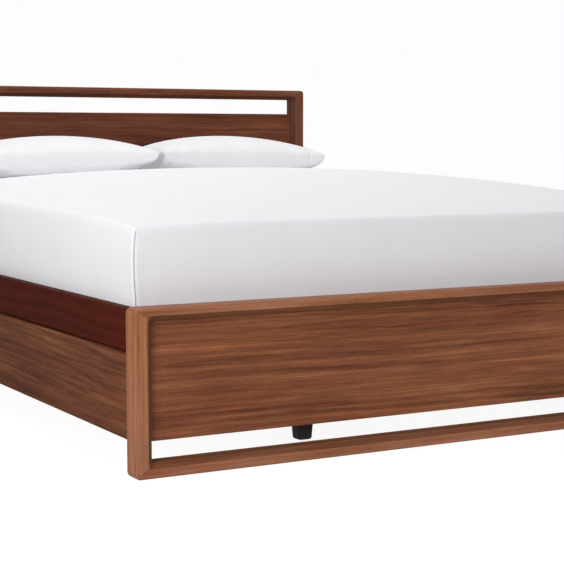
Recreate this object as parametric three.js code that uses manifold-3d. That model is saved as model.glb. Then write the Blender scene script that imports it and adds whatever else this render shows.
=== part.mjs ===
// Queen-size walnut platform bed with a loop-framed headboard and footboard, and two drawers on its left side.
// Millimetres, +Z up. Origin on the floor under the middle of the bed. The foot end faces -Y, the head end +Y.
// Meshes that touch keep GAP between them, so that each piece stays a separate solid.
import * as THREE from 'three';
import { mergeVertices } from 'three/addons/utils/BufferGeometryUtils.js';
import Module from 'manifold-3d';

const wasm = await Module();
wasm.setup();

// Driving dimensions
const GAP = 0.3;
const WIDTH = 1600;
const LENGTH = 2140;
const FOOT_HEIGHT = 352;
const HEAD_HEIGHT = 866;

// Loop frames: two posts, a top rail and a floor rail, mitred, with a bevel around the opening
const LOOP_DEPTH = 45;
const LOOP_BEVEL = 13;
const LOOP_CORNER = 12;
const LOOP_ARRIS = 2;
const LOOP_INNER_CORNER = 3;
const MITRE_REACH = 8;
const FLOOR_RAIL = 32;
const FOOT_LOOP = { post: 42, topRail: 29, height: FOOT_HEIGHT };
const HEAD_LOOP = { post: 46, topRail: 34, height: HEAD_HEIGHT };

// Panels inside the loops
const PANEL_SETBACK = 16;
const PANEL_THICKNESS = 18;
const PANEL_BOTTOM = 75;
const HEAD_PANEL_TOP = 780;
const PANEL_CORNER = 4;

// Side rails, and the boards below them
const SIDE_LENGTH = LENGTH - 2 * LOOP_DEPTH - 2 * GAP;
const RAIL_SETBACK = 10;
const RAIL_THICKNESS = 22;
const RAIL_BOTTOM = 258;
const RAIL_TOP = 347;
const BOARD_SETBACK = 4;
const BOARD_THICKNESS = 20;
const BOARD_BOTTOM = 76;
const BOARD_TOP = 254;

// Slats and what carries them
const SLAT_COUNT = 10;
const SLAT = { width: 100, thickness: 18, endMargin: 60 };
const LEDGER = { size: 22, bottom: 262 };
const SLAT_BOTTOM = LEDGER.bottom + LEDGER.size + GAP;
const BEAM = { width: 40, height: 60, endClearance: 5 };
const BEAM_LEG_Y = [-370, 330];
const LEG_TOP_SIZE = 46;
const LEG_FOOT_SIZE = 36;
const LEG_CORNER = 7;
const LEG_ARRIS = 4;

// Drawer case, hung under the left ledger and standing on its own feet
const CASE_THICKNESS = 18;
const CASE_BOTTOM = 82;
const CASE_BACK_X = -288;
const CASE_END_Y = 1001;
const CASE_FOOT_Y = [-858, 0, 858];

// Drawers
const DRAWER_SEAM = 4;
const DRAWER = { wall: 12, bottom: 96, top: 216, floorBottom: 100, floorThickness: 8, backClearance: 8 };

// Slides, as channels nested across the space between a case board and a drawer side
const SLIDE_SPACE = 13;
const SLIDE_LENGTH = 450;
const SLIDE_INSET = 2;
const SLIDE_HEIGHT_Z = 150;
const SLIDE_WALL = 1.5;
const SLIDE_MEMBERS = [
  { name: 'fixed', halfHeight: 22.5, web: GAP, lip: 11 },
  { name: 'middle', halfHeight: 20.4, web: 2.4, lip: 10.6 },
  { name: 'drawer', halfHeight: 17.9, web: SLIDE_SPACE - GAP, lip: 4.6 },
];

// Bedding
const MATTRESS = { halfWidth: 762, halfLength: 1000, centreY: 14, corner: 8, edgeTop: 516, crown: 84 };
const PILLOW = { halfWidth: 302, halfLength: 228, corner: 10, bow: 14, centreX: 305, centreY: 752 };
const PILLOW_REST = 4;
const PILLOW_SEAM_RISE = 66;
const PILLOW_TOP_RISE = 62;

const MATERIALS = {
  walnut: new THREE.MeshStandardMaterial({ color: 0x8a5a40, roughness: 0.45, metalness: 0 }),
  darkWalnut: new THREE.MeshStandardMaterial({ color: 0x55291e, roughness: 0.5, metalness: 0 }),
  plainWood: new THREE.MeshStandardMaterial({ color: 0xd2b48a, roughness: 0.6, metalness: 0 }),
  zincSteel: new THREE.MeshStandardMaterial({ color: 0xb4b6b8, roughness: 0.35, metalness: 0.9 }),
  blackPlastic: new THREE.MeshStandardMaterial({ color: 0x161616, roughness: 0.55, metalness: 0 }),
  bedLinen: new THREE.MeshStandardMaterial({ color: 0xf0f0f2, roughness: 0.9, metalness: 0 }),
};

const bed = new THREE.Group();

function addMesh(name, geometry, material) {
  const mesh = new THREE.Mesh(geometry, material);
  mesh.name = name;
  bed.add(mesh);
  return mesh;
}

// A box between two corners, each given as [x, y, z].
function addBoard(name, low, high, material) {
  const size = high.map((value, axis) => value - low[axis]);
  const mesh = addMesh(name, new THREE.BoxGeometry(...size), material);
  mesh.position.set(...low.map((value, axis) => value + size[axis] / 2));
}

// A rounded rectangle around (cx, cy), counter-clockwise, as [x, y] pairs.
// Each corner takes `steps` chords, and each straight side takes `sideSteps`.
function roundedRectangle(cx, cy, halfX, halfY, radius, steps = 4, sideSteps = 1) {
  const corners = [[1, 1], [-1, 1], [-1, -1], [1, -1]].map(([sx, sy], corner) => {
    const points = [];
    for (let step = 0; step <= steps; step += 1) {
      const angle = (Math.PI / 2) * (corner + step / steps);
      points.push([
        cx + sx * (halfX - radius) + radius * Math.cos(angle),
        cy + sy * (halfY - radius) + radius * Math.sin(angle),
      ]);
    }
    return points;
  });
  return corners.flatMap((points, corner) => {
    const [startX, startY] = points[steps];
    const [endX, endY] = corners[(corner + 1) % 4][0];
    const side = [];
    for (let step = 1; step < sideSteps; step += 1) {
      const share = step / sideSteps;
      side.push([startX + (endX - startX) * share, startY + (endY - startY) * share]);
    }
    return [...points, ...side];
  });
}

// A closed skin through rings of equal point count, with a fan on each end.
// Rings run counter-clockwise as seen from the last ring's end.
function loft(rings) {
  const count = rings[0].length;
  const positions = rings.flat(2);
  const indices = [];
  for (let ring = 0; ring + 1 < rings.length; ring += 1) {
    for (let k = 0; k < count; k += 1) {
      const a = ring * count + k;
      const b = ring * count + ((k + 1) % count);
      indices.push(a, b, b + count, a, b + count, a + count);
    }
  }
  const addFan = (start, ring, forward) => {
    const centre = positions.length / 3;
    for (let axis = 0; axis < 3; axis += 1) {
      positions.push(ring.reduce((sum, point) => sum + point[axis], 0) / count);
    }
    for (let k = 0; k < count; k += 1) {
      const next = start + ((k + 1) % count);
      indices.push(...(forward ? [start + k, next, centre] : [next, start + k, centre]));
    }
  };
  addFan(0, rings[0], false);
  addFan((rings.length - 1) * count, rings[rings.length - 1], true);
  const geometry = new THREE.BufferGeometry();
  geometry.setAttribute('position', new THREE.Float32BufferAttribute(positions, 3));
  geometry.setIndex(indices);
  return geometry;
}

function toSolid(geometry) {
  const bare = geometry.clone();
  bare.deleteAttribute('normal');
  bare.deleteAttribute('uv');
  const merged = mergeVertices(bare, 1e-4);
  return new wasm.Manifold(new wasm.Mesh({
    numProp: 3,
    vertProperties: new Float32Array(merged.attributes.position.array),
    triVerts: new Uint32Array(merged.index.array),
  }));
}

function toGeometry(solid) {
  const mesh = solid.getMesh();
  const geometry = new THREE.BufferGeometry();
  geometry.setAttribute('position', new THREE.BufferAttribute(mesh.vertProperties, 3));
  geometry.setIndex(new THREE.BufferAttribute(mesh.triVerts, 1));
  const faceted = geometry.toNonIndexed();
  faceted.computeVertexNormals();
  return faceted;
}

// Lays an outline of [x, z] pairs in the upright plane at y.
const upright = (outline, y) => outline.map(([x, z]) => [x, y, z]);

// The whole loop as one solid, its bevelled face at y = 0 facing -Y.
function loopSolid({ post, topRail, height }) {
  const halfWidth = WIDTH / 2;
  const outer = (y, inset) => upright(
    roundedRectangle(0, height / 2, halfWidth - inset, height / 2 - inset, LOOP_CORNER - inset, 6),
    y,
  );
  const block = loft([
    outer(LOOP_DEPTH, LOOP_ARRIS),
    outer(LOOP_DEPTH - LOOP_ARRIS, 0),
    outer(LOOP_ARRIS, 0),
    outer(0, LOOP_ARRIS),
  ]);
  const openingHeight = height - topRail - FLOOR_RAIL;
  const opening = (y, flare) => upright(
    roundedRectangle(
      0,
      FLOOR_RAIL + openingHeight / 2,
      halfWidth - post + flare,
      openingHeight / 2 + flare,
      LOOP_INNER_CORNER + flare,
    ),
    y,
  );
  const cutter = loft([
    opening(LOOP_DEPTH + 1, 0),
    opening(LOOP_BEVEL, 0),
    opening(-1, LOOP_BEVEL + 1),
  ]);
  return toSolid(block).subtract(toSolid(cutter));
}

// An outline of [x, z] pairs, counter-clockwise as seen from -Y, as a prism through the loop's whole depth.
function mitrePrism(outline) {
  return toSolid(loft([upright(outline, LOOP_DEPTH + 5), upright(outline, -5)]));
}

// The loop's four members, cut apart along the mitres and moved so that the bevelled face is at frontY.
function addLoop(prefix, loop, frontY) {
  const { post, topRail, height } = loop;
  const solid = loopSolid(loop);
  const outerX = -WIDTH / 2 - MITRE_REACH;
  const innerX = -WIDTH / 2 + post + MITRE_REACH;
  const slopeUp = FLOOR_RAIL / post;
  const slopeDown = topRail / post;
  const floorMitre = (x) => (x + WIDTH / 2) * slopeUp;
  const topMitre = (x) => height - (x + WIDTH / 2) * slopeDown;
  const joint = 1.3 * GAP;
  const postOutline = [
    [outerX, floorMitre(outerX) + joint],
    [innerX, floorMitre(innerX) + joint],
    [innerX, topMitre(innerX) - joint],
    [outerX, topMitre(outerX) - joint],
  ];
  const floorOutline = [
    [outerX, floorMitre(outerX)],
    [-outerX, floorMitre(outerX)],
    [-innerX, floorMitre(innerX)],
    [innerX, floorMitre(innerX)],
  ];
  const topOutline = [
    [innerX, topMitre(innerX)],
    [-innerX, topMitre(innerX)],
    [-outerX, topMitre(outerX)],
    [outerX, topMitre(outerX)],
  ];
  const mirrored = postOutline.map(([x, z]) => [-x, z]).reverse();
  const members = [
    ['post_left', postOutline],
    ['post_right', mirrored],
    ['floor_rail', floorOutline],
    ['top_rail', topOutline],
  ];
  for (const [name, outline] of members) {
    const member = addMesh(
      `${prefix}_${name}`,
      toGeometry(solid.intersect(mitrePrism(outline))),
      MATERIALS.walnut,
    );
    member.position.y = frontY;
  }
}

function addPanel(name, loop, bottom, top, frontY) {
  const halfWidth = WIDTH / 2 - loop.post - GAP;
  const outline = roundedRectangle(0, (bottom + top) / 2, halfWidth, (top - bottom) / 2, PANEL_CORNER);
  const panel = addMesh(
    name,
    loft([upright(outline, PANEL_THICKNESS), upright(outline, 0)]),
    MATERIALS.walnut,
  );
  panel.position.y = frontY + PANEL_SETBACK;
}

function addSides() {
  const halfLength = SIDE_LENGTH / 2;
  const railOuter = WIDTH / 2 - RAIL_SETBACK;
  const railInner = railOuter - RAIL_THICKNESS;
  for (const [side, sign] of [['left', -1], ['right', 1]]) {
    const across = (a, b) => [a * sign, b * sign].sort((p, q) => p - q);
    const [railLow, railHigh] = across(railInner, railOuter);
    addBoard(
      `side_rail_${side}`,
      [railLow, -halfLength, RAIL_BOTTOM],
      [railHigh, halfLength, RAIL_TOP],
      MATERIALS.darkWalnut,
    );
    const ledgerOuter = railInner - GAP;
    const [ledgerLow, ledgerHigh] = across(ledgerOuter - LEDGER.size, ledgerOuter);
    addBoard(
      `slat_ledger_${side}`,
      [ledgerLow, -halfLength + BEAM.endClearance, LEDGER.bottom],
      [ledgerHigh, halfLength - BEAM.endClearance, LEDGER.bottom + LEDGER.size],
      MATERIALS.plainWood,
    );
  }
  const boardOuter = WIDTH / 2 - BOARD_SETBACK;
  addBoard(
    'side_board_right',
    [boardOuter - BOARD_THICKNESS, -halfLength, BOARD_BOTTOM],
    [boardOuter, halfLength, RAIL_BOTTOM - GAP],
    MATERIALS.walnut,
  );
}

// A block leg that narrows towards the floor, its foot's edge rounded over.
function addLeg(name, x, y, height) {
  const ring = (size, z) => roundedRectangle(x, y, size / 2, size / 2, LEG_CORNER).map(([px, py]) => [px, py, z]);
  const rings = [
    ring(LEG_FOOT_SIZE - 2 * LEG_ARRIS, 0),
    ring(LEG_FOOT_SIZE - 0.6 * LEG_ARRIS, 0.3 * LEG_ARRIS),
    ring(LEG_FOOT_SIZE, LEG_ARRIS),
    ring(LEG_TOP_SIZE, height),
  ];
  addMesh(name, loft(rings), MATERIALS.blackPlastic);
}

function addSlatBase() {
  const halfLength = SIDE_LENGTH / 2 - BEAM.endClearance;
  const beamTop = LEDGER.bottom + LEDGER.size;
  addBoard(
    'centre_beam',
    [-BEAM.width / 2, -halfLength, beamTop - BEAM.height],
    [BEAM.width / 2, halfLength, beamTop],
    MATERIALS.plainWood,
  );
  BEAM_LEG_Y.forEach((y, index) => {
    addLeg(`centre_leg_${index + 1}`, 0, y, beamTop - BEAM.height - GAP);
  });
  const slatHalf = WIDTH / 2 - RAIL_SETBACK - RAIL_THICKNESS - 2 * GAP;
  const firstY = -halfLength + SLAT.endMargin;
  const pitch = (2 * (halfLength - SLAT.endMargin)) / (SLAT_COUNT - 1);
  for (let index = 0; index < SLAT_COUNT; index += 1) {
    const y = firstY + index * pitch;
    addBoard(
      `slat_${String(index + 1).padStart(2, '0')}`,
      [-slatHalf, y - SLAT.width / 2, SLAT_BOTTOM],
      [slatHalf, y + SLAT.width / 2, SLAT_BOTTOM + SLAT.thickness],
      MATERIALS.plainWood,
    );
  }
}

function addDrawerCase() {
  const halfBoard = CASE_THICKNESS / 2;
  const backFront = CASE_BACK_X - halfBoard;
  addBoard(
    'case_back',
    [backFront, -CASE_END_Y - halfBoard, CASE_BOTTOM],
    [CASE_BACK_X + halfBoard, CASE_END_Y + halfBoard, LEDGER.bottom + LEDGER.size],
    MATERIALS.plainWood,
  );
  const endOuter = -WIDTH / 2 + RAIL_SETBACK + RAIL_THICKNESS + GAP;
  for (const [name, y] of [['foot_end', -CASE_END_Y], ['divider', 0], ['head_end', CASE_END_Y]]) {
    addBoard(
      `case_${name}`,
      [endOuter, y - halfBoard, CASE_BOTTOM],
      [backFront - GAP, y + halfBoard, LEDGER.bottom - GAP],
      MATERIALS.plainWood,
    );
  }
  CASE_FOOT_Y.forEach((y, index) => {
    addLeg(`case_foot_${index + 1}`, CASE_BACK_X, y, CASE_BOTTOM - GAP);
  });
}

// One channel of a slide. Its web is nearest the case board, or nearest the drawer when web > lip.
function addSlideMember(name, { halfHeight, web, lip }, caseFaceY, direction, frontX) {
  const inward = lip > web ? 1 : -1;
  const webInside = web + inward * SLIDE_WALL;
  const lipInside = halfHeight - SLIDE_WALL;
  const outline = new THREE.Shape([
    new THREE.Vector2(web, -halfHeight),
    new THREE.Vector2(lip, -halfHeight),
    new THREE.Vector2(lip, -lipInside),
    new THREE.Vector2(webInside, -lipInside),
    new THREE.Vector2(webInside, lipInside),
    new THREE.Vector2(lip, lipInside),
    new THREE.Vector2(lip, halfHeight),
    new THREE.Vector2(web, halfHeight),
  ]);
  const geometry = new THREE.ExtrudeGeometry(outline, { depth: SLIDE_LENGTH, bevelEnabled: false });
  const axes = new THREE.Matrix4().makeBasis(
    new THREE.Vector3(0, direction, 0),
    new THREE.Vector3(0, 0, 1),
    new THREE.Vector3(direction, 0, 0),
  );
  geometry.applyMatrix4(axes);
  const member = addMesh(name, geometry, MATERIALS.zincSteel);
  member.position.set(direction > 0 ? frontX : frontX + SLIDE_LENGTH, caseFaceY, SLIDE_HEIGHT_Z);
}

// A drawer between the case faces at lowY and highY, its front reaching from frontLowY to frontHighY.
function addDrawer(number, lowY, highY, frontLowY, frontHighY) {
  const name = `drawer_${number}`;
  const frontOuter = -WIDTH / 2 + BOARD_SETBACK;
  const frontInner = frontOuter + BOARD_THICKNESS;
  const boxFront = frontInner + GAP;
  const boxBack = CASE_BACK_X - CASE_THICKNESS / 2 - DRAWER.backClearance;
  const boxLow = lowY + SLIDE_SPACE;
  const boxHigh = highY - SLIDE_SPACE;
  const insideLow = boxLow + DRAWER.wall;
  const insideHigh = boxHigh - DRAWER.wall;
  const floorTop = DRAWER.floorBottom + DRAWER.floorThickness;
  addBoard(
    `${name}_front`,
    [frontOuter, frontLowY, BOARD_BOTTOM],
    [frontInner, frontHighY, BOARD_TOP],
    MATERIALS.walnut,
  );
  for (const [side, y] of [['foot_side', boxLow], ['head_side', insideHigh]]) {
    addBoard(
      `${name}_${side}`,
      [boxFront, y, DRAWER.bottom],
      [boxBack, y + DRAWER.wall, DRAWER.top],
      MATERIALS.plainWood,
    );
  }
  addBoard(
    `${name}_bottom`,
    [boxFront, insideLow + GAP, DRAWER.floorBottom],
    [boxBack, insideHigh - GAP, floorTop],
    MATERIALS.plainWood,
  );
  addBoard(
    `${name}_back`,
    [boxBack - DRAWER.wall, insideLow + GAP, floorTop + GAP],
    [boxBack, insideHigh - GAP, DRAWER.top],
    MATERIALS.plainWood,
  );
  const slideFront = -WIDTH / 2 + RAIL_SETBACK + RAIL_THICKNESS + SLIDE_INSET;
  for (const [side, faceY, direction] of [['foot', lowY, 1], ['head', highY, -1]]) {
    for (const member of SLIDE_MEMBERS) {
      addSlideMember(`${name}_slide_${side}_${member.name}`, member, faceY, direction, slideFront);
    }
  }
}

function addDrawers() {
  const caseFace = CASE_END_Y - CASE_THICKNESS / 2;
  const dividerFace = CASE_THICKNESS / 2;
  const halfLength = SIDE_LENGTH / 2;
  addDrawer(1, -caseFace, -dividerFace, -halfLength + GAP, -DRAWER_SEAM / 2);
  addDrawer(2, dividerFace, caseFace, DRAWER_SEAM / 2, halfLength - GAP);
}

// Height of the mattress's crowned top at (x, y).
function mattressTop(x, y) {
  const { halfWidth, halfLength, centreY, edgeTop, crown } = MATTRESS;
  const acrossWidth = Math.max(0, 1 - (x / halfWidth) ** 2) ** 0.4;
  const alongLength = Math.max(0, 1 - ((y - centreY) / halfLength) ** 2) ** 0.9;
  return edgeTop + crown * acrossWidth * alongLength;
}

function addMattress() {
  const { halfWidth, halfLength, centreY, corner, edgeTop } = MATTRESS;
  const bottom = SLAT_BOTTOM + SLAT.thickness + GAP;
  const ring = (inset, height) => roundedRectangle(
    0,
    centreY,
    halfWidth - inset,
    halfLength - inset,
    Math.max(corner - inset, 12),
    4,
    8,
  ).map(([x, y]) => [x, y, height(x, y)]);
  const wall = [[10, bottom], [2, bottom + 10], [0, 345], [-8, 400], [-8, 470], [-6, 496], [-1, edgeTop - 7]];
  const crown = [8, 22, 45, 90, 160, 270, 420, 600, 720];
  const mattress = loft([
    ...wall.map(([inset, z]) => ring(inset, () => z)),
    ...crown.map((inset) => ring(inset, mattressTop)),
  ]);
  addMesh('mattress', mattress, MATERIALS.bedLinen);
}

// A stuffed cushion of two faces that meet at a seam, its seam riding between the mattress and a level line.
function addPillow(name, centreX) {
  const { halfWidth, halfLength, corner, bow, centreY } = PILLOW;
  const middleTop = mattressTop(centreX, centreY);
  // side is 1 on the upper face, 0 on the seam and -1 on the lower face.
  const ring = (inset, side) => roundedRectangle(
    0,
    0,
    halfWidth - inset,
    halfLength - inset,
    Math.max(corner - inset, 6),
    4,
    6,
  ).map(([u, v]) => {
    const openX = 1 - (u / halfWidth) ** 2;
    const openY = 1 - (v / halfLength) ** 2;
    const fullness = Math.sqrt(openX * openY);
    const x = centreX + u * (1 - (bow / halfWidth) * openY);
    const y = centreY + v * (1 - (bow / halfLength) * openX);
    const under = mattressTop(x, y) + PILLOW_REST;
    const seam = (under + middleTop) / 2 + PILLOW_SEAM_RISE;
    const lower = under + (seam - under) * (1 - Math.sqrt(fullness)) ** 2;
    const height = { '-1': lower, 0: seam, 1: seam + PILLOW_TOP_RISE * fullness };
    return [x, y, height[side]];
  });
  const lower = [190, 120, 70, 35, 14, 5];
  const upper = [4, 12, 28, 55, 95, 145, 200];
  addMesh(name, loft([
    ...lower.map((inset) => ring(inset, -1)),
    ring(0, 0),
    ...upper.map((inset) => ring(inset, 1)),
  ]), MATERIALS.bedLinen);
}

const footFront = -LENGTH / 2;
const headFront = LENGTH / 2 - LOOP_DEPTH;
addLoop('foot', FOOT_LOOP, footFront);
addLoop('head', HEAD_LOOP, headFront);
addPanel('foot_panel', FOOT_LOOP, PANEL_BOTTOM, FOOT_HEIGHT - FOOT_LOOP.topRail - GAP, footFront);
addPanel('head_panel', HEAD_LOOP, PANEL_BOTTOM, HEAD_PANEL_TOP, headFront);
addSides();
addSlatBase();
addDrawerCase();
addDrawers();
addMattress();
addPillow('pillow_left', -PILLOW.centreX);
addPillow('pillow_right', PILLOW.centreX);

export default bed;
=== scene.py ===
"""Looks for a walnut platform bed: its boards, hardware, mattress and pillows, with light and camera."""
import math

import bpy
import numpy as np
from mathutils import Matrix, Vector
from mathutils.bvhtree import BVHTree


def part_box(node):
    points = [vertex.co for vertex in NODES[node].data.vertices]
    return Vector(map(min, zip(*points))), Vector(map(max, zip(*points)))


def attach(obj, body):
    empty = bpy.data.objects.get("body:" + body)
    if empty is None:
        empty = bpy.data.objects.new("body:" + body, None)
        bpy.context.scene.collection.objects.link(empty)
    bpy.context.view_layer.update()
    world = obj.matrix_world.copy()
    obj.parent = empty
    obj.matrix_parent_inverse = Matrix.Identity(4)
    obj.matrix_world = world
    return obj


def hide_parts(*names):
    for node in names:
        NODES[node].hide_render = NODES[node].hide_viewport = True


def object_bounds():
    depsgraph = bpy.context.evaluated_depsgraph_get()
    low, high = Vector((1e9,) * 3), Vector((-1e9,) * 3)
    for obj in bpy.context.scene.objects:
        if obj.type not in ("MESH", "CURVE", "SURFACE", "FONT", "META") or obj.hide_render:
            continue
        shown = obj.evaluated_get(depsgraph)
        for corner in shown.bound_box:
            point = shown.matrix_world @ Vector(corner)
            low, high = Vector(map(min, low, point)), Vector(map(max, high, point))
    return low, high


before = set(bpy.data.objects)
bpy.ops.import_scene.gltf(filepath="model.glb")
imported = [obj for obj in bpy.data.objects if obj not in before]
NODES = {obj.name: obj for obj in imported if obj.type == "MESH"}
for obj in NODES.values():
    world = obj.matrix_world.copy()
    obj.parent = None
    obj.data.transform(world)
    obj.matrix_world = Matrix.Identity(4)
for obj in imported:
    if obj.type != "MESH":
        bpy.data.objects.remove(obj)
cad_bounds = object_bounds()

ROOT_BODY = "bed_frame"
MM = 0.001
SCENE = bpy.context.scene
SCENE.view_settings.view_transform = "Standard"


# ---------------------------------------------------------------- camera, light and floor

CAMERA_FROM_CORNER = Vector((-1.203, -2.767, 0.697))
CAMERA_YAW = math.radians(29.15)
CAMERA_PITCH = math.radians(5.52)
CAMERA_LENS = 95.97

# Brightness of the backdrop and of the floor, where the camera sees them and where they light the bed.
BACKDROP_SEEN, BACKDROP_LIGHT = 0.98, 0.39
FLOOR_SEEN, FLOOR_LIGHT = 0.92, 0.27

WHITE = (1.0, 1.0, 1.0)

# Each area light's name, place, aim, size, power in watts and colour.
LIGHTS = (
    ("overhead", (-0.2, 0.7, 3.3), (-0.2, 0.7, 0.0), (3.4, 2.4), 62, WHITE),
    ("key", (-3.9, -3.1, 1.4), (0.0, -0.7, 0.35), (1.5, 1.3), 122, (1.0, 0.99, 0.98)),
    ("fill", (1.8, -5.0, 1.6), (0.2, -0.6, 0.35), (2.4, 2.0), 34, WHITE),
)


def add_camera():
    corner = Vector((cad_bounds[0][0], cad_bounds[0][1], 0))
    data = bpy.data.cameras.new("camera")
    data.lens = CAMERA_LENS
    data.sensor_width = 36
    data.clip_end = 60
    camera = bpy.data.objects.new("camera", data)
    camera.location = corner + CAMERA_FROM_CORNER
    camera.rotation_euler = (math.pi / 2 - CAMERA_PITCH, 0, -CAMERA_YAW)
    SCENE.collection.objects.link(camera)
    SCENE.camera = camera


def add_area_light(name, location, target, size, power, colour):
    data = bpy.data.lights.new(name, "AREA")
    data.shape = "RECTANGLE"
    data.size, data.size_y = size
    data.energy = power
    data.color = colour
    light = bpy.data.objects.new(name, data)
    light.location = location
    light.visible_camera = False
    light.rotation_euler = (Vector(target) - Vector(location)).to_track_quat("-Z", "Y").to_euler()
    SCENE.collection.objects.link(light)


def seen_or_lighting(tree, seen, lighting):
    """A strength that is one number where the camera looks and another where it lights the object."""
    path = tree.nodes.new("ShaderNodeLightPath")
    choice = tree.nodes.new("ShaderNodeMix")
    tree.links.new(path.outputs["Is Camera Ray"], choice.inputs[0])
    choice.inputs[2].default_value = lighting
    choice.inputs[3].default_value = seen
    return choice.outputs[0]


def add_world():
    world = bpy.data.worlds.new("studio")
    world.use_nodes = True
    background = world.node_tree.nodes["Background"]
    background.inputs["Color"].default_value = (1, 1, 1, 1)
    strength = seen_or_lighting(world.node_tree, BACKDROP_SEEN, BACKDROP_LIGHT)
    world.node_tree.links.new(strength, background.inputs["Strength"])
    SCENE.world = world


def add_floor():
    bpy.ops.mesh.primitive_plane_add(size=60, location=(0, 0, -0.0005))
    floor = bpy.context.object
    floor.name = "floor"
    shader = Shader("floor_white")
    shader.surface.inputs["Base Color"].default_value = (0.16, 0.16, 0.16, 1)
    shader.surface.inputs["Roughness"].default_value = 0.9
    shader.surface.inputs["Specular IOR Level"].default_value = 0
    shader.surface.inputs["Emission Color"].default_value = (1, 1, 1, 1)
    strength = seen_or_lighting(shader.tree, FLOOR_SEEN, FLOOR_LIGHT)
    shader.put(shader.surface.inputs["Emission Strength"], strength)
    floor.data.materials.append(shader.material)


# ---------------------------------------------------------------- materials

def rgb(red, green, blue):
    """An sRGB colour, 0 to 255, as a linear RGBA tuple."""
    def linear(value):
        value /= 255
        return value / 12.92 if value <= 0.04045 else ((value + 0.055) / 1.055) ** 2.4
    return (linear(red), linear(green), linear(blue), 1)


class Shader:
    """A material under construction. An input given a socket is linked, and any other value is set."""

    def __init__(self, name):
        self.material = bpy.data.materials.new(name)
        self.material.use_nodes = True
        self.tree = self.material.node_tree
        self.surface = self.tree.nodes["Principled BSDF"]

    def put(self, socket, value):
        if isinstance(value, bpy.types.NodeSocket):
            self.tree.links.new(value, socket)
        else:
            socket.default_value = value

    def add(self, kind, inputs=(), **settings):
        node = self.tree.nodes.new(kind)
        for name, value in settings.items():
            setattr(node, name, value)
        for key, value in dict(inputs).items():
            self.put(node.inputs[key], value)
        return node

    def math(self, operation, a, b=0.0, c=0.0):
        node = self.add("ShaderNodeMath", {0: a, 1: b, 2: c}, operation=operation)
        return node.outputs[0]

    def noise(self, vector, scale=1.0, detail=2.0, roughness=0.5, distortion=0.0):
        inputs = {
            "Vector": vector, "Scale": scale, "Detail": detail,
            "Roughness": roughness, "Distortion": distortion,
        }
        return self.add("ShaderNodeTexNoise", inputs).outputs[0]

    def scaled(self, vector, factors):
        return self.add("ShaderNodeVectorMath", {0: vector, 1: factors}, operation="MULTIPLY").outputs[0]

    def remap(self, value, low, high, to_low=0.0, to_high=1.0):
        inputs = {0: value, 1: low, 2: high, 3: to_low, 4: to_high}
        return self.add("ShaderNodeMapRange", inputs, clamp=True).outputs[0]

    def ramp(self, value, stops):
        node = self.add("ShaderNodeValToRGB", {0: value})
        elements = node.color_ramp.elements
        while len(elements) < len(stops):
            elements.new(0.5)
        for element, (position, colour) in zip(elements, stops):
            element.position = position
            element.color = colour
        return node.outputs[0]

    def blend(self, share, a, b, mode="MIX"):
        node = self.add("ShaderNodeMix", data_type="RGBA", blend_type=mode)
        self.put(node.inputs[0], share)
        self.put(node.inputs[6], a)
        self.put(node.inputs[7], b)
        return node.outputs[2]

    def bump(self, height, strength, distance, normal=None):
        inputs = {"Height": height, "Strength": strength, "Distance": distance}
        if normal is not None:
            inputs["Normal"] = normal
        return self.add("ShaderNodeBump", inputs).outputs[0]


RING_PITCH = 9 * MM

# The middle of what the wood's layers add up to, and how far either way the palette reaches.
TONE_MIDDLE, TONE_SPREAD = 1.175, 0.42

# Width of the bevel around a loop's opening, darkened with painted shade.
BEVEL = 13 * MM

# Each palette goes from the darkest streak to the lightest.
WALNUT = [rgb(92, 48, 31), rgb(134, 82, 57), rgb(160, 108, 79), rgb(190, 136, 99)]
WALNUT_PANEL = [rgb(66, 29, 20), rgb(104, 58, 38), rgb(142, 87, 57), rgb(184, 124, 80)]
# The side rails' palette is much darker than the walnut's own: painted shade under the mattress.
WALNUT_RAILS_SHADED = [rgb(34, 9, 5), rgb(62, 21, 11), rgb(78, 29, 16), rgb(98, 43, 25)]
BIRCH = [rgb(186, 150, 108), rgb(212, 180, 138), rgb(226, 198, 158), rgb(234, 210, 174)]

# What the headboard's colours are multiplied by: its boards are a little redder than the footboard's.
REDDER = (1.0, 0.87, 0.88)

# The order of a point's coordinates that puts the grain first.
GRAIN_ORDER = {"X": (0, 1, 2), "Y": (1, 2, 0), "Z": (2, 0, 1)}


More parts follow.
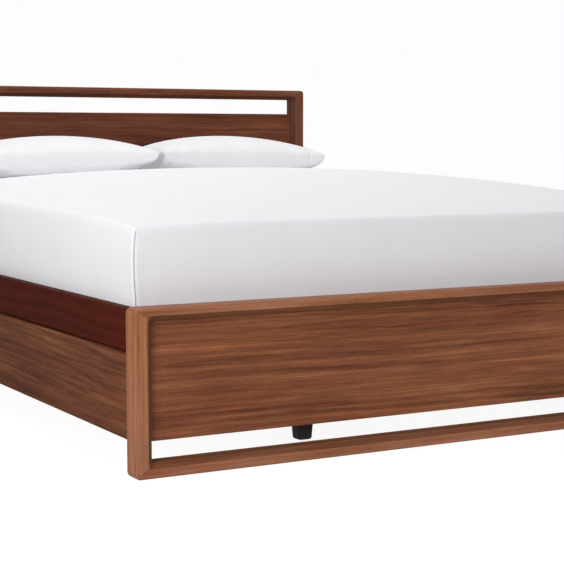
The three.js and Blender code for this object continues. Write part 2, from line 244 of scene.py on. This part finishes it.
def wood(name, axis, colours, seed, pith=(0.0, -2.0), figure=0.012,
         opening=None, gloss=0.15, contrast=1.0):
    """Oiled or lacquered wood whose grain runs along one axis of the bed.

    pith is where the tree's centre lies across the grain, from the bed's origin, and figure is how far the
    rings wander along the board. opening is a loop's opening, around whose bevel painted shade darkens the
    wood.
    """
    shader = Shader(name)
    place = shader.add("ShaderNodeTexCoord").outputs["Object"]
    split = shader.add("ShaderNodeSeparateXYZ", {0: place}).outputs
    along, across, depth = (split[i] for i in GRAIN_ORDER[axis])
    point = shader.add("ShaderNodeCombineXYZ", {0: along, 1: across, 2: depth}).outputs[0]
    point = shader.add("ShaderNodeVectorMath", {0: point, 1: (seed, seed * 1.7, seed * 0.6)}).outputs[0]

    drift = shader.noise(shader.scaled(point, (1.1, 2.6, 2.6)), detail=2.0)
    drift = shader.remap(drift, 0.25, 0.75, -figure, figure)
    waver = shader.noise(shader.scaled(point, (4.0, 22.0, 22.0)), detail=2.0)
    waver = shader.remap(waver, 0.2, 0.8, -0.002, 0.002)
    off_across = shader.math("SUBTRACT", across, pith[0])
    off_depth = shader.math("SUBTRACT", depth, pith[1])
    radius = shader.math("POWER", shader.math("ADD",
                         shader.math("MULTIPLY", off_across, off_across),
                         shader.math("MULTIPLY", off_depth, off_depth)), 0.5)
    radius = shader.math("ADD", shader.math("ADD", radius, waver), drift)
    rings = shader.add("ShaderNodeTexNoise", {
        "W": shader.math("DIVIDE", radius, RING_PITCH), "Scale": 0.62, "Detail": 3.0, "Roughness": 0.62,
    }, noise_dimensions="1D").outputs[0]
    rings = shader.remap(rings, 0.5 - 0.3 / contrast, 0.5 + 0.3 / contrast)

    streaks = shader.noise(shader.scaled(point, (3.2, 98.0, 98.0)), detail=5.0, roughness=0.62)
    flecks = shader.noise(shader.scaled(point, (9.0, 210.0, 210.0)), detail=3.0, roughness=0.6)
    fibres = shader.noise(shader.scaled(point, (16.0, 520.0, 520.0)), detail=2.0)
    pores = shader.noise(shader.scaled(point, (60.0, 1100.0, 1100.0)), detail=1.0)
    pores = shader.remap(pores, 0.6, 0.72)
    clouds = shader.noise(shader.scaled(point, (1.3, 5.0, 5.0)), detail=3.0, roughness=0.55)

    tone = shader.math("MULTIPLY", rings, 0.3)
    for layer, share in ((streaks, 0.65), (flecks, 0.4), (fibres, 0.2), (clouds, 0.8)):
        tone = shader.math("MULTIPLY_ADD", layer, share, tone)
    tone = shader.remap(tone, TONE_MIDDLE - TONE_SPREAD / contrast, TONE_MIDDLE + TONE_SPREAD / contrast)
    steps = [i / (len(colours) - 1) for i in range(len(colours))]
    colour = shader.ramp(tone, list(zip(steps, colours)))
    warmth = shader.noise(shader.scaled(point, (1.9, 9.0, 9.0)), detail=3.0, roughness=0.55)
    golden = shader.remap(warmth, 0.5, 0.72, 0.0, 0.5)
    reddish = shader.remap(warmth, 0.5, 0.3, 0.0, 0.5)
    colour = shader.blend(golden, colour, (1.12, 1.0, 0.74, 1), "MULTIPLY")
    colour = shader.blend(reddish, colour, (1.0, 0.86, 0.9, 1), "MULTIPLY")
    colour = shader.blend(shader.math("MULTIPLY", pores, 0.4), colour, colours[0])
    # Painted shade: the wood on the bevel around the loop's opening, in its front few centimetres, is
    # darkened as if shadowed by the posts and top rail.
    if opening:
        half_width, low, high, front = opening
        beside = shader.math("SUBTRACT", shader.math("ABSOLUTE", split[0]), half_width)
        off_middle = shader.math("SUBTRACT", split[2], (low + high) / 2)
        above = shader.math("SUBTRACT", shader.math("ABSOLUTE", off_middle), (high - low) / 2)
        outside = shader.math("MAXIMUM", beside, above)
        near = shader.remap(outside, BEVEL - 1.2 * MM, BEVEL - 0.2 * MM, 1.0, 0.0)
        shallow = shader.remap(split[1], front + 24 * MM, front + 32 * MM, 1.0, 0.0)
        painted_bevel_shade = shader.math("MULTIPLY", shader.math("MULTIPLY", near, shallow), 0.58)
        colour = shader.blend(painted_bevel_shade, colour, (0.3, 0.24, 0.22, 1), "MULTIPLY")

    relief = shader.math("SUBTRACT", shader.math("MULTIPLY", fibres, 0.4), pores)
    shader.put(shader.surface.inputs["Base Color"], colour)
    shader.put(shader.surface.inputs["Roughness"], shader.remap(streaks, 0.3, 0.7, 0.44, 0.6))
    shader.put(shader.surface.inputs["Normal"], shader.bump(relief, 0.35, 0.0004))
    shader.surface.inputs["Specular IOR Level"].default_value = gloss
    return shader.material


def toned(colours, gain, hue=WHITE):
    return [tuple(c * gain * h for c, h in zip(colour, hue)) + (1,) for colour in colours]


def zinc():
    """Zinc-plated steel with faint rolling marks along the slide."""
    shader = Shader("zinc_plate")
    place = shader.add("ShaderNodeTexCoord").outputs["Object"]
    marks = shader.noise(shader.scaled(place, (12.0, 900.0, 900.0)), detail=2.0)
    spangle = shader.noise(place, scale=70.0, detail=3.0)
    tone = shader.math("MULTIPLY_ADD", marks, 0.4, shader.math("MULTIPLY", spangle, 0.6))
    colour = shader.ramp(tone, [(0.3, rgb(150, 152, 156)), (0.7, rgb(192, 195, 200))])
    shader.put(shader.surface.inputs["Base Color"], colour)
    shader.put(shader.surface.inputs["Roughness"], shader.remap(tone, 0.3, 0.7, 0.28, 0.45))
    shader.put(shader.surface.inputs["Normal"], shader.bump(marks, 0.15, 0.0001))
    shader.surface.inputs["Metallic"].default_value = 1
    return shader.material


def moulded_plastic():
    """Black moulded plastic with a fine spark-eroded texture and a little floor dust low down."""
    shader = Shader("black_moulding")
    place = shader.add("ShaderNodeTexCoord").outputs["Object"]
    texture = shader.noise(place, scale=1400.0, detail=2.0)
    cloud = shader.noise(place, scale=40.0, detail=2.0)
    height = shader.add("ShaderNodeSeparateXYZ", {0: place}).outputs[2]
    dust = shader.math("MULTIPLY", shader.remap(height, 0.0, 0.03, 0.25, 0.0), cloud)
    colour = shader.blend(dust, rgb(20, 20, 21), rgb(120, 116, 110))
    shader.put(shader.surface.inputs["Base Color"], colour)
    shader.put(shader.surface.inputs["Roughness"], shader.remap(cloud, 0.3, 0.7, 0.45, 0.6))
    shader.put(shader.surface.inputs["Normal"], shader.bump(texture, 0.25, 0.0002))
    return shader.material


WELD_DISTANCE = 0.02 * MM
SHEET_METAL_EDGE, LOOP_EDGE, BOARD_EDGE = 0.3 * MM, 0.5 * MM, 1.5 * MM


def set_material(node, material):
    for piece_slot in NODES[node].material_slots:
        piece_slot.material = material


def soften_edges(node, width, segments):
    """Rounds a CAD node's sharp edges as its maker would, by modifiers only."""
    piece = NODES[node]
    weld = piece.modifiers.new("weld", "WELD")
    weld.merge_threshold = WELD_DISTANCE
    bevel = piece.modifiers.new("arris", "BEVEL")
    bevel.width = width
    bevel.segments = segments
    bevel.limit_method = "ANGLE"
    bevel.angle_limit = math.radians(32)


def loop_opening(end):
    """A loop's opening: half its width, its lowest and highest point, and where its front face is."""
    low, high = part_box(f"{end}_post_right")[0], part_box(f"{end}_top_rail")[0]
    return low[0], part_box(f"{end}_floor_rail")[1][2], high[2], low[1]


def dress_frame():
    """Walnut on everything that shows, each board with grain along its own length."""
    # The headboard's walnut is the footboard's palette at about half its gain: painted shade that darkens
    # the whole headboard. Its redder hue is the wood's own.
    for end, gain, hue, seed in (("foot", 1.12, WHITE, 3.1), ("head", 0.61, REDDER, 7.4)):
        opening = loop_opening(end)
        rails = wood(f"walnut_{end}_rails", "X", toned(WALNUT, gain, hue), seed, opening=opening)
        for member in ("top_rail", "floor_rail"):
            set_material(f"{end}_{member}", rails)
        for side, sign in (("left", -1), ("right", 1)):
            colours = toned(WALNUT, 0.95 * gain, hue)
            post = wood(f"walnut_{end}_post_{side}", "Z", colours, seed * 3.7 + sign,
                        pith=(2.5 * sign, -1.4), opening=opening)
            set_material(f"{end}_post_{side}", post)
    foot = toned(WALNUT_PANEL, 1.05)
    set_material("foot_panel", wood("walnut_foot_panel", "X", foot, seed=5.2, figure=0.02))
    # The head panel is darkened the same way, by painted shade.
    head = toned(WALNUT_PANEL, 0.65, REDDER)
    set_material("head_panel", wood("walnut_head_panel", "X", head, seed=8.6, figure=0.02))
    boards = (
        ("side_board_right", 0.74, 41.0),
        ("drawer_1_front", 0.74, 2.4),
        ("drawer_2_front", 0.68, 6.9),
    )
    for node, gain, seed in boards:
        board = wood(f"walnut_{node}", "Y", toned(WALNUT_PANEL, gain), seed,
                     pith=(-2.0, 0.6), figure=0.02, gloss=0.06)
        set_material(node, board)
    # Painted shade: the side rails take the darkened palette, standing for the shade under the mattress.
    rails_in_shade = wood("walnut_side_rails_painted_shade", "Y", WALNUT_RAILS_SHADED, seed=13.5, pith=(-2.0, 0.0), gloss=0.02)
    for side in ("left", "right"):
        set_material(f"side_rail_{side}", rails_in_shade)


def dress_hidden_wood():
    """Birch for what bears the mattress and makes the drawers."""
    along = {axis: wood(f"birch_{axis.lower()}", axis, BIRCH, seed=9.0 + i, contrast=0.7)
             for i, axis in enumerate("XYZ")}
    for node in NODES:
        if node.startswith("slat_ledger") or node in ("centre_beam", "case_back"):
            set_material(node, along["Y"])
        elif node.startswith("slat_") or node in ("case_foot_end", "case_divider", "case_head_end"):
            set_material(node, along["X"])
    for number in (1, 2):
        for side in ("foot_side", "head_side"):
            set_material(f"drawer_{number}_{side}", along["X"])
        for board in ("back", "bottom"):
            set_material(f"drawer_{number}_{board}", along["Y"])


def dress_hardware():
    steel = zinc()
    plastic = moulded_plastic()
    for node in NODES:
        if "_slide_" in node:
            set_material(node, steel)
        elif node.startswith("centre_leg") or node[:-1] == "case_foot_":
            set_material(node, plastic)


def round_all_edges():
    for node in NODES:
        if node.startswith(("mattress", "pillow")):
            continue
        if "_slide_" in node:
            soften_edges(node, SHEET_METAL_EDGE, 1)
        elif node.startswith(("foot_", "head_")):
            soften_edges(node, LOOP_EDGE, 2)
        else:
            soften_edges(node, BOARD_EDGE, 2)


# ---------------------------------------------------------------- bedding

MATTRESS_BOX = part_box("mattress")
BULGE = 8 * MM
HALF_WIDTH = MATTRESS_BOX[1][0] - BULGE
MIDDLE_Y = (MATTRESS_BOX[0][1] + MATTRESS_BOX[1][1]) / 2
HALF_LENGTH = MATTRESS_BOX[1][1] - MIDDLE_Y - BULGE
MATTRESS_BOTTOM = MATTRESS_BOX[0][2]
EDGE_TOP = 516 * MM
CROWN = MATTRESS_BOX[1][2] - EDGE_TOP
CORNER_DIP = 5 * MM
RAIL_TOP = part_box("side_rail_left")[1][2]
TOP_INSET = 8 * MM
CORNER_RADIUS = 4 * MM
HEM = 60 * MM
PILLOW_BOW, PILLOW_REST, SEAM_RISE, TOP_RISE = 14 * MM, 4 * MM, 66 * MM, 62 * MM
CLEARANCE = 0.8 * MM

# How far the simulation may move a point: of a pillow, of the mattress, and of it between the rails.
PILLOW_REACH, MATTRESS_REACH, BOXED_REACH = 14 * MM, 8 * MM, 2 * MM

# How far out from the top's border the mattress's wall stands, at each share of the way down it.
WALL_PROFILE = [
    (0.008, 2.6), (0.02, 5.0), (0.04, 7.4), (0.07, 9.8), (0.11, 12.0), (0.16, 13.8),
    (0.22, 15.2), (0.29, 16.0), (0.36, 16.0), (0.43, 15.6), (0.51, 14.8), (0.59, 13.4),
    (0.67, 11.6), (0.75, 9.8), (0.83, 8.4), (0.9, 7.4), (0.955, 5.6), (0.985, 2.6),
]

# The share of the wall's outset that moves a corner out whole. The rest of it widens the corner's radius.
CORNER_SQUARENESS = 0.9

# The sheet's corner seam: a tuck at the corner, then the fold behind it on the long side. Each pair is how
# far along the skin it is from the corner, towards the long side, and how far the cloth stands out there.
SEAM_PROFILE = [
    (-5.2, 0), (-3.6, -1.6), (-2.4, -2.0), (-1.0, 0.5), (0.6, 1.0), (6.0, 1.0), (12.0, 0.3), (16.0, 0),
]


def mattress_top(x, y):
    """Height of the made-up mattress: crowned, and drawn down a little by the sheet at its corners."""
    off_middle = y - MIDDLE_Y
    across = np.clip(1 - (x / HALF_WIDTH) ** 2, 0, 1) ** 0.4
    along = np.clip(1 - (off_middle / HALF_LENGTH) ** 2, 0, 1) ** 0.9
    reach = (HALF_WIDTH - np.abs(x)) ** 2 + (HALF_LENGTH - np.abs(off_middle)) ** 2
    return EDGE_TOP + CROWN * across * along - CORNER_DIP * np.exp(-reach / (2 * 0.08 ** 2))


def grid_lines(half, step):
    """Coordinates from -half to half, closely spaced towards both ends."""
    ends = np.array([0, 0.8, 1.6, 2.4, 3.2, 4, 5, 6, 7.5, 9, 11, 13, 16, 21, 30, 42, 60, 85]) * MM
    middle = np.linspace(-(half - ends[-1]), half - ends[-1], round(2 * (half - ends[-1]) / step) + 1)
    return np.concatenate([ends[:-1] - half, middle, half - ends[:-1][::-1]])


def new_piece(name, vertices, faces, material):
    mesh = bpy.data.meshes.new(name)
    mesh.from_pydata([tuple(v) for v in vertices], [], faces)
    mesh.polygons.foreach_set("use_smooth", [True] * len(mesh.polygons))
    mesh.materials.append(material)
    piece = bpy.data.objects.new(name, mesh)
    SCENE.collection.objects.link(piece)
    return piece


def vertex_array(mesh, attribute="co"):
    flat = np.empty(len(mesh.vertices) * 3)
    mesh.vertices.foreach_get(attribute, flat)
    return flat.reshape(-1, 3)


def apply_modifiers(piece):
    """Puts the modified mesh in place of the piece's own, so that no modifier is left on it."""
    evaluated = piece.evaluated_get(bpy.context.evaluated_depsgraph_get())
    mesh = bpy.data.meshes.new_from_object(evaluated)
    piece.modifiers.clear()
    piece.data = mesh


def simulate_cloth(piece, rest, hold, pressure, stiffness, bending, frames, cap):
    """Lets the piece's skin settle as cloth under pressure, no point moving further than its cap.

    rest is the shape in which the cloth is unstretched, and hold is how firmly each point stays put.
    """

    start = vertex_array(piece.data)
    piece.shape_key_add(name="start")
    uncut = piece.shape_key_add(name="uncut")
    uncut.data.foreach_set("co", rest.ravel())
    group = piece.vertex_groups.new(name="hold")
    for index, weight in enumerate(hold):
        group.add([index], float(weight), "REPLACE")
    cloth = piece.modifiers.new("cloth", "CLOTH")
    settings = cloth.settings
    settings.quality = 5
    settings.mass = 0.2
    settings.tension_stiffness = settings.compression_stiffness = stiffness
    settings.shear_stiffness = stiffness / 3
    settings.bending_stiffness = bending
    settings.air_damping = 4
    settings.use_pressure = True
    settings.uniform_pressure_force = pressure
    settings.vertex_group_mass = "hold"
    settings.rest_shape_key = uncut
    settings.effector_weights.gravity = 0
    for frame_number in range(1, frames + 1):
        SCENE.frame_set(frame_number)
    evaluated = piece.evaluated_get(bpy.context.evaluated_depsgraph_get())
    moved = vertex_array(evaluated.data) - start
    piece.modifiers.clear()
    piece.shape_key_clear()
    piece.vertex_groups.clear()
    SCENE.frame_set(1)
    reach = np.linalg.norm(moved, axis=1)
    moved *= np.minimum(1, cap / np.maximum(reach, 1e-9))[:, None]
    piece.data.vertices.foreach_set("co", (start + moved).ravel())


def subdivide(piece):
    modifier = piece.modifiers.new("subdivision", "SUBSURF")
    modifier.levels = modifier.render_levels = 1
    apply_modifiers(piece)


def build_mattress(material):
    """The mattress in its fitted sheet, as one closed skin of quads with close rows along its edges."""
    xs = grid_lines(HALF_WIDTH - TOP_INSET, 25 * MM)
    ys = grid_lines(HALF_LENGTH - TOP_INSET, 25 * MM)
    columns, rows = len(xs), len(ys)
    x, y = np.meshgrid(xs, ys, indexing="ij")
    corner = np.array([HALF_WIDTH, HALF_LENGTH]) - TOP_INSET - CORNER_RADIUS
    over_x = np.clip((np.abs(x) - corner[0]) / CORNER_RADIUS, 0, 1)
    over_y = np.clip((np.abs(y) - corner[1]) / CORNER_RADIUS, 0, 1)
    turned = (over_x > 0) & (over_y > 0)
    round_x = np.sign(x) * (corner[0] + CORNER_RADIUS * over_x * np.sqrt(1 - over_y ** 2 / 2))
    round_y = np.sign(y) * (corner[1] + CORNER_RADIUS * over_y * np.sqrt(1 - over_x ** 2 / 2))
    x = np.where(turned, round_x, x)
    y = np.where(turned, round_y, y)
    top = np.stack([x, y, mattress_top(x, y + MIDDLE_Y)], -1).reshape(-1, 3)
    floor = np.stack([x * 0.998, y * 0.998, np.full_like(x, MATTRESS_BOTTOM)], -1).reshape(-1, 3)

    index = np.arange(columns * rows).reshape(columns, rows)
    border = np.concatenate([index[:-1, 0], index[-1, :-1], index[:0:-1, -1], index[0, :0:-1]])
    edge = top[border]
    out = np.stack([np.sign(edge[:, 0]) * np.maximum(np.abs(edge[:, 0]) - corner[0], 0),
                    np.sign(edge[:, 1]) * np.maximum(np.abs(edge[:, 1]) - corner[1], 0)], -1)
    out /= np.linalg.norm(out, axis=1)[:, None]

    square = CORNER_SQUARENESS
    walls = []
    for share, outset in WALL_PROFILE:
        level = edge[:, 2] + (MATTRESS_BOTTOM - edge[:, 2]) * share
        offset = (out * (1 - square) + np.sign(out) * square) * outset * MM
        walls.append(np.column_stack([edge[:, :2] + offset, level]))
    vertices = np.concatenate([top, *walls, floor]) + (0, MIDDLE_Y, 0)

    faces = []
    for base, flip in ((0, False), (len(vertices) - len(floor), True)):
        for i in range(columns - 1):
            for j in range(rows - 1):
                corners = ((i, j), (i + 1, j), (i + 1, j + 1), (i, j + 1))
                quad = [int(base + index[place]) for place in corners]
                faces.append(quad[::-1] if flip else quad)
    count = len(border)
    rings = [border] + [len(top) + level * count + np.arange(count) for level in range(len(walls))]
    rings.append(border + len(vertices) - len(floor))
    for upper, lower in zip(rings, rings[1:]):
        for k in range(count):
            n = (k + 1) % count
            faces.append([int(lower[k]), int(lower[n]), int(upper[n]), int(upper[k])])
    piece = new_piece("mattress_in_sheet", vertices, faces, material)

    across, length = vertices[:, 0], vertices[:, 1]
    wave = np.sin(across * 31 + np.sin(length * 7)) * np.sin(length * 27 + across * 5)
    share_down = np.clip((EDGE_TOP - vertices[:, 2]) / (EDGE_TOP - RAIL_TOP), 0, 1)
    rest = vertices.copy()
    rest[:, :2] *= (1 + 0.006 * share_down)[:, None]
    rest[:, 2] += 0.0006 * wave

    in_x, in_y = HALF_WIDTH - np.abs(vertices[:, 0]), HALF_LENGTH - np.abs(vertices[:, 1] - MIDDLE_Y)
    from_top_edge = np.hypot(np.maximum(np.minimum(in_x, in_y) - TOP_INSET, 0),
                             np.maximum(EDGE_TOP - CORNER_DIP - vertices[:, 2], 0))
    from_corner = np.hypot(in_x, in_y)
    crisp = np.maximum(np.exp(-(from_top_edge / 0.014) ** 2), np.exp(-(from_corner / 0.03) ** 2))
    hold = 0.12 + 0.88 * crisp
    boxed_in = vertices[:, 2] < RAIL_TOP + 10 * MM
    hold[boxed_in] = 0.9
    hold[vertices[:, 2] < MATTRESS_BOTTOM + 6 * MM] = 1
    simulate_cloth(piece, rest, hold, pressure=3.0, stiffness=12, bending=0.4, frames=20,
                   cap=np.where(boxed_in, BOXED_REACH, MATTRESS_REACH))
    subdivide(piece)
    fold_corner_seams(piece)
    return piece


def fold_corner_seams(piece):
    """Folds the fitted sheet's seam into the skin down each of the mattress's corners."""
    points = vertex_array(piece.data)
    normals = vertex_array(piece.data, "normal")
    past_x = np.abs(points[:, 0]) - HALF_WIDTH
    past_y = np.abs(points[:, 1] - MIDDLE_Y) - HALF_LENGTH
    along = (past_x - past_y) / math.sqrt(2)
    places, heights = np.array(SEAM_PROFILE).T * MM
    proud = np.interp(along, places, heights)
    proud *= np.clip((EDGE_TOP - CORNER_DIP - 2 * MM - points[:, 2]) / (8 * MM), 0, 1)
    proud *= np.clip((points[:, 2] - MATTRESS_BOTTOM - 4 * MM) / (8 * MM), 0, 1)
    proud *= (np.minimum(past_x, past_y) > -40 * MM) * np.clip(1 - np.abs(normals[:, 2]) * 1.5, 0, 1)
    piece.data.vertices.foreach_set("co", (points + normals * proud[:, None]).ravel())


def build_pillow(name, node, material, support):
    """A standard pillow in its case: two faces cut flat and sewn together, then filled."""
    low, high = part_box(node)
    centre = np.array([(low[0] + high[0]) / 2, (low[1] + high[1]) / 2])
    half = np.array([(high[0] - low[0]) / 2, (high[1] - low[1]) / 2])
    flat_half = half * 1.045
    columns, rows = 57, 43

    def spaced(count, span):
        """Places from -1 to 1 that are equally far apart over the filled pillow's arched middle."""
        angle = np.linspace(-math.pi / 2, math.pi / 2, 721)
        place, height = span * np.sin(angle), TOP_RISE * np.cos(angle)
        length = np.concatenate([[0], np.cumsum(np.hypot(np.diff(place), np.diff(height)))])
        return np.sin(np.interp(np.linspace(0, length[-1], count), length, angle))

    u, v = np.meshgrid(spaced(columns, half[0]), spaced(rows, half[1]), indexing="ij")
    open_x, open_y = 1 - u ** 2, 1 - v ** 2
    fullness = np.sqrt(np.clip(open_x * open_y, 0, 1))
    x = centre[0] + u * (half[0] - PILLOW_BOW * open_y)
    y = centre[1] + v * (half[1] - PILLOW_BOW * open_x)
    under = mattress_top(x, y) + PILLOW_REST
    seam = (under + mattress_top(centre[0], centre[1])) / 2 + SEAM_RISE
    upper = np.stack([x, y, seam + TOP_RISE * fullness], -1)
    lower = np.stack([x, y, under + (seam - under) * (1 - np.sqrt(fullness)) ** 2], -1)
    flat_x, flat_y = np.meshgrid(np.linspace(-1, 1, columns) * flat_half[0],
                                 np.linspace(-1, 1, rows) * flat_half[1], indexing="ij")
    flat = np.stack([centre[0] + flat_x, centre[1] + flat_y, np.full_like(flat_x, seam.mean())], -1)

    index = np.arange(columns * rows).reshape(columns, rows)
    inner = np.zeros_like(index, dtype=bool)
    inner[1:-1, 1:-1] = True
    lower_index = index.copy()
    lower_index[inner] = columns * rows + np.arange(inner.sum())
    vertices = np.concatenate([upper.reshape(-1, 3), lower[inner]])
    rest = np.concatenate([flat.reshape(-1, 3) + (0, 0, 0.001), flat[inner] - (0, 0, 0.001)])
    faces = []
    for i in range(columns - 1):
        for j in range(rows - 1):
            corners = ((i, j), (i + 1, j), (i + 1, j + 1), (i, j + 1))
            faces.append([int(index[c]) for c in corners])
            faces.append([int(lower_index[c]) for c in corners[::-1]])
    piece = new_piece(name, vertices, faces, material)
    outward = math.copysign(1, centre[0])
    cut = piece.data.uv_layers.new(name="cut")
    corner_vertex = np.empty(len(piece.data.loops), dtype=int)
    piece.data.loops.foreach_get("vertex_index", corner_vertex)
    cut.data.foreach_set("uv", (rest[corner_vertex, :2] * (outward, 1)).ravel())

    hold = np.concatenate([np.full(columns * rows, 0.02), np.where(fullness[inner] > 0.45, 1.0, 0.15)])
    simulate_cloth(piece, rest, hold, pressure=6.0, stiffness=15, bending=0.25, frames=26,
                   cap=np.full(len(vertices), PILLOW_REACH))
    subdivide(piece)
    points = vertex_array(piece.data)
    for point in points:
        hit = support.ray_cast(Vector((point[0], point[1], 1.0)), Vector((0, 0, -1)))[0]
        if hit:
            point[2] = max(point[2], hit.z + CLEARANCE)
    points[:, 0] = outward * np.maximum(outward * points[:, 0], 0.6 * MM)
    points[:, 1] = np.minimum(points[:, 1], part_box("head_panel")[0][1] - 1 * MM)
    piece.data.vertices.foreach_set("co", points.ravel())
    return piece


def darker(colour, share):
    return tuple(c * share for c in colour[:3]) + (1,)


def cotton(name, tint, hem=None, fitted=False):
    """White percale: a close plain weave with slubs, and a soft sheen at glancing angles.

    hem is how far along the cut cloth, in metres, the stitch line of a pillowcase's hem runs, with painted
    shade in its groove. A fitted sheet has a line of painted shade down each of its corners, in its seam's
    groove.
    """
    shader = Shader(name)
    place = shader.add("ShaderNodeTexCoord").outputs["Object"]
    slubs_x = shader.noise(shader.scaled(place, (60.0, 900.0, 900.0)), detail=2.0)
    slubs_y = shader.noise(shader.scaled(place, (900.0, 60.0, 900.0)), detail=2.0)
    cloud = shader.noise(place, scale=9.0, detail=3.0)
    weave = shader.math("ADD", slubs_x, slubs_y)
    tone = shader.math("MULTIPLY_ADD", weave, 0.5, shader.math("MULTIPLY", cloud, 0.5))
    colour = shader.ramp(tone, [(0.45, darker(tint, 0.93)), (1.05, tint)])
    folds = shader.scaled(place, (7.0, 11.0, 7.0))
    wrinkles = shader.noise(folds, detail=4.0, roughness=0.45, distortion=0.6)
    normal = shader.bump(wrinkles, 0.25, 0.004)
    if hem:
        cut = shader.add("ShaderNodeUVMap", uv_map="cut").outputs[0]
        split = shader.add("ShaderNodeSeparateXYZ", {0: cut}).outputs
        off = shader.math("ABSOLUTE", shader.math("SUBTRACT", split[0], hem))
        groove = shader.remap(off, 0.0, 2.2 * MM, 0.0, 1.0)
        stitch = shader.math("PINGPONG", split[1], 1.6 * MM)
        thread = shader.math("MULTIPLY", shader.remap(off, 0.5 * MM, 0.9 * MM, 1.0, 0.0),
                             shader.remap(stitch, 0.5 * MM, 0.7 * MM, 0.0, 1.0))
        band = shader.remap(split[0], hem, hem + 1.5 * MM, 0.0, 0.6)
        height = shader.math("ADD", shader.math("ADD", groove, band), shader.math("MULTIPLY", thread, 0.7))
        normal = shader.bump(height, 0.8, 0.0012, normal)
        # Painted shade: the hem's groove is darkened in the cloth's colour.
        painted_hem_shade = shader.remap(groove, 0.0, 0.7, 0.35, 0.0)
        colour = shader.blend(painted_hem_shade, colour, darker(tint, 0.7))
    if fitted:
        # Painted shade: a grey line down each of the mattress's corners, in the groove of the sheet's
        # seam.
        split = shader.add("ShaderNodeSeparateXYZ", {0: place}).outputs
        off_middle = shader.math("SUBTRACT", split[1], MIDDLE_Y)
        past_x = shader.math("SUBTRACT", shader.math("ABSOLUTE", split[0]), HALF_WIDTH)
        past_y = shader.math("SUBTRACT", shader.math("ABSOLUTE", off_middle), HALF_LENGTH)
        along = shader.math("DIVIDE", shader.math("SUBTRACT", past_x, past_y), math.sqrt(2))
        off = shader.math("ABSOLUTE", shader.math("SUBTRACT", along, SEAM_PROFILE[2][0] * MM))
        near = shader.remap(shader.math("MINIMUM", past_x, past_y), -20 * MM, -10 * MM)
        below = shader.remap(split[2], EDGE_TOP - CORNER_DIP - 3 * MM, EDGE_TOP - CORNER_DIP - 9 * MM)
        painted_seam_shade = shader.math("MULTIPLY", shader.math("MULTIPLY", near, below),
                                shader.remap(off, 0.5 * MM, 1.7 * MM, 0.75, 0.0))
        colour = shader.blend(painted_seam_shade, colour, darker(tint, 0.55))
    shader.put(shader.surface.inputs["Base Color"], colour)
    shader.put(shader.surface.inputs["Roughness"], shader.remap(tone, 0.5, 1.0, 0.78, 0.9))
    shader.put(shader.surface.inputs["Normal"], shader.bump(weave, 0.3, 0.0002, normal))
    shader.surface.inputs["Specular IOR Level"].default_value = 0.2
    shader.surface.inputs["Sheen Weight"].default_value = 0.25
    shader.surface.inputs["Sheen Roughness"].default_value = 0.5
    return shader.material


def skin_of(piece):
    """The piece's surface, for casting rays at."""
    faces = [tuple(polygon.vertices) for polygon in piece.data.polygons]
    return BVHTree.FromPolygons([vertex.co for vertex in piece.data.vertices], faces)


def declare(piece, node):
    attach(piece, ROOT_BODY)
    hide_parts(node)


def dress_bedding():
    sheet = cotton("cotton_fitted_sheet", rgb(236, 236, 240), fitted=True)
    mattress = build_mattress(sheet)
    declare(mattress, "mattress")
    support = skin_of(mattress)
    for side in ("left", "right"):
        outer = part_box(f"pillow_{side}")[0 if side == "left" else 1][0]
        case = cotton(f"cotton_pillowcase_{side}", rgb(230, 230, 232), hem=abs(outer) - HEM)
        pillow = build_pillow(f"pillow_{side}_in_case", f"pillow_{side}", case, support)
        declare(pillow, f"pillow_{side}")


# ---------------------------------------------------------------- run

add_camera()
add_world()
for light in LIGHTS:
    add_area_light(*light)
add_floor()
dress_frame()
dress_hidden_wood()
dress_hardware()
round_all_edges()
dress_bedding()
